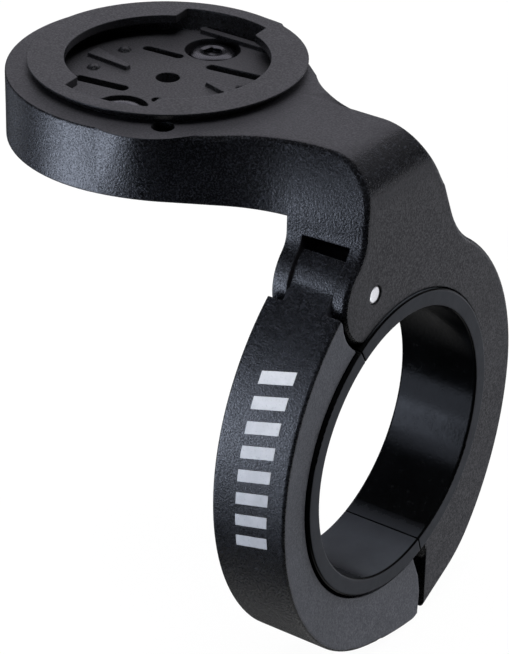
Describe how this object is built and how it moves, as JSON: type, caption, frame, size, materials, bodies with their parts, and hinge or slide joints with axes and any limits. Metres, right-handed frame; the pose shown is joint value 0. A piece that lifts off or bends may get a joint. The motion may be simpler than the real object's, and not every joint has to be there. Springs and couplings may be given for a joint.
{
  "type": "handlebar mount for a cycling computer",
  "caption": "Black plastic over-the-stem handlebar mount: a hinged ring clamp, a bent arm and a round bayonet socket for a cycling computer.",
  "frame": {"origin": "centre of the handlebar bore, midway across the clamp's width", "axes": "+X along the handlebar, away from the head; -Y forward; +Z the way the socket faces"},
  "size_m": [0.0509, 0.0463, 0.0647],
  "materials": {
    "arm_plastic": "fine-grained black glass-filled nylon",
    "jaw_plastic": "smoother black glass-filled nylon",
    "pin_steel": "bright turned steel",
    "plate_plastic": "black moulded plastic",
    "screw_steel": "blackened steel",
    "insert_brass": "plain brass",
    "liner_rubber": "satin black rubber",
    "washer_steel": "zinc-plated steel"
  },
  "bodies": {
    "arm": {"arm_body": "arm_plastic", "hinge_pin": "pin_steel", "liner_rear": "liner_rubber", "bayonet_plate": "plate_plastic", "plate_screw_rear": "screw_steel", "plate_screw_front": "screw_steel", "plate_insert_rear": "insert_brass", "plate_insert_front": "insert_brass"},
    "jaw": {"clamp_jaw": "jaw_plastic", "liner_front": "liner_rubber", "clamp_insert": "insert_brass"},
    "screw": {"clamp_screw": "screw_steel", "clamp_washer": "washer_steel"}
  },
  "joints": [
    {"name": "jaw_hinge", "type": "hinge", "parent": "arm", "child": "jaw", "pos_m": [0, -0.00596, 0.02114], "axis": [-1, 0, 0], "range_deg": [0, 60]},
    {"name": "clamp_screw_travel", "type": "slide", "parent": "arm", "child": "screw", "axis": [0, 0.9734, 0.2292], "range_m": [0, 0.005]}
  ]
}
